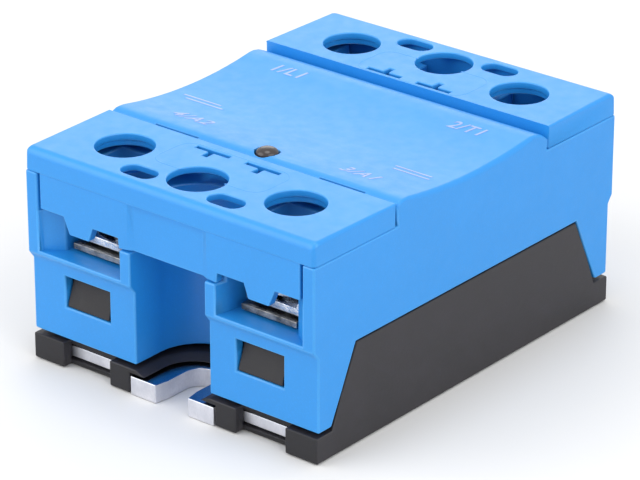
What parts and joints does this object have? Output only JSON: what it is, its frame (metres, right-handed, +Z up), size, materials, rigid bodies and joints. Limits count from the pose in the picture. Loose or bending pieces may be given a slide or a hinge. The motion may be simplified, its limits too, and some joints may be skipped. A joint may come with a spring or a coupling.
{
  "type": "solid state relay",
  "caption": "Panel-mount solid state relay with a blue housing on an aluminium base plate, clamp screw terminals under hinged flaps, open mounting slots and an indicator.",
  "frame": {"origin": "centre of the base plate's bottom face", "axes": "+Z up out of the base plate, X across the body, Y along it with the control end at -Y and the power end at +Y"},
  "size_m": [0.045, 0.059, 0.029],
  "materials": {
    "blue_plastic": "satin moulded, glass-filled",
    "black_plastic": "matt moulded",
    "aluminium": "rolled top, sawn edges",
    "tinned_brass": "tin plated",
    "zinc_steel": "bright zinc plated",
    "lens_grey": "smoked, glossy",
    "led_epoxy": "clear tinted epoxy",
    "alumina": "matt fired ceramic",
    "copper": "bare copper",
    "silicon": "polished silicon",
    "board_green": "solder mask",
    "black_epoxy": "moulded epoxy",
    "resistor_beige": "lacquered",
    "film_yellow": "potted box",
    "varistor_blue": "epoxy dipped"
  },
  "bodies": {
    "base": {"housing": "blue_plastic", "base_frame": "black_plastic", "base_plate": "aluminium", "led_lens": "lens_grey", "led": "led_epoxy", "ceramic_substrate": "alumina", "copper_pad_line": "copper", "copper_pad_load": "copper", "gate_pad_line": "copper", "gate_pad_load": "copper", "thyristor_line": "silicon", "thyristor_load": "silicon", "cathode_strap_line": "copper", "cathode_strap_load": "copper", "gate_pin_line": "tinned_brass", "gate_pin_load": "tinned_brass", "control_board": "board_green", "optocoupler": "black_epoxy", "bridge_rectifier": "black_epoxy", "drive_transistor": "black_epoxy", "snubber_capacitor": "film_yellow", "input_resistor_1": "resistor_beige", "input_resistor_2": "resistor_beige", "snubber_resistor": "resistor_beige", "varistor": "varistor_blue", "control_terminal_a2": "tinned_brass", "control_nut_a2": "zinc_steel", "control_terminal_a1": "tinned_brass", "control_nut_a1": "zinc_steel", "power_terminal_l1": "tinned_brass", "power_nut_l1": "zinc_steel", "power_terminal_t1": "tinned_brass", "power_nut_t1": "zinc_steel"},
    "control_flap": {"control_flap": "blue_plastic"},
    "power_flap": {"power_flap": "blue_plastic"},
    "control_clamp_a2": {"control_clamp_a2": "zinc_steel"},
    "control_screw_a2": {"control_screw_a2": "zinc_steel"},
    "control_clamp_a1": {"control_clamp_a1": "zinc_steel"},
    "control_screw_a1": {"control_screw_a1": "zinc_steel"},
    "power_clamp_l1": {"power_clamp_l1": "zinc_steel"},
    "power_screw_l1": {"power_screw_l1": "zinc_steel"},
    "power_clamp_t1": {"power_clamp_t1": "zinc_steel"},
    "power_screw_t1": {"power_screw_t1": "zinc_steel"}
  },
  "joints": [
    {"name": "control_flap_hinge", "type": "hinge", "parent": "base", "child": "control_flap", "pos_m": [0, -0.0146, 0.0284], "axis": [-1, 0, 0], "range_deg": [0, 90]},
    {"name": "power_flap_hinge", "type": "hinge", "parent": "base", "child": "power_flap", "pos_m": [0, 0.01543, 0.0284], "axis": [1, 0, 0], "range_deg": [0, 90]},
    {"name": "control_clamp_a2_lift", "type": "slide", "parent": "base", "child": "control_clamp_a2", "axis": [0, 0, 1], "range_m": [0, 0.003]},
    {"name": "control_screw_a2_turn", "type": "hinge", "parent": "control_clamp_a2", "child": "control_screw_a2", "pos_m": [-0.01335, -0.02165, 0.0178], "axis": [0, 0, 1], "range_deg": [0, 1543]},
    {"name": "control_clamp_a1_lift", "type": "slide", "parent": "base", "child": "control_clamp_a1", "axis": [0, 0, 1], "range_m": [0, 0.003]},
    {"name": "control_screw_a1_turn", "type": "hinge", "parent": "control_clamp_a1", "child": "control_screw_a1", "pos_m": [0.01335, -0.02165, 0.0178], "axis": [0, 0, 1], "range_deg": [0, 1543]},
    {"name": "power_clamp_l1_lift", "type": "slide", "parent": "base", "child": "power_clamp_l1", "axis": [0, 0, 1], "range_m": [0, 0.003]},
    {"name": "power_screw_l1_turn", "type": "hinge", "parent": "power_clamp_l1", "child": "power_screw_l1", "pos_m": [-0.01335, 0.02165, 0.0178], "axis": [0, 0, 1], "range_deg": [0, 1351]},
    {"name": "power_clamp_t1_lift", "type": "slide", "parent": "base", "child": "power_clamp_t1", "axis": [0, 0, 1], "range_m": [0, 0.003]},
    {"name": "power_screw_t1_turn", "type": "hinge", "parent": "power_clamp_t1", "child": "power_screw_t1", "pos_m": [0.01335, 0.02165, 0.0178], "axis": [0, 0, 1], "range_deg": [0, 1351]}
  ],
  "couplings": [
    {"joint": "control_screw_a2_turn", "follows": "control_clamp_a2_lift", "rad_per_m": 8976},
    {"joint": "control_screw_a1_turn", "follows": "control_clamp_a1_lift", "rad_per_m": 8976},
    {"joint": "power_screw_l1_turn", "follows": "power_clamp_l1_lift", "rad_per_m": 7854},
    {"joint": "power_screw_t1_turn", "follows": "power_clamp_t1_lift", "rad_per_m": 7854}
  ]
}
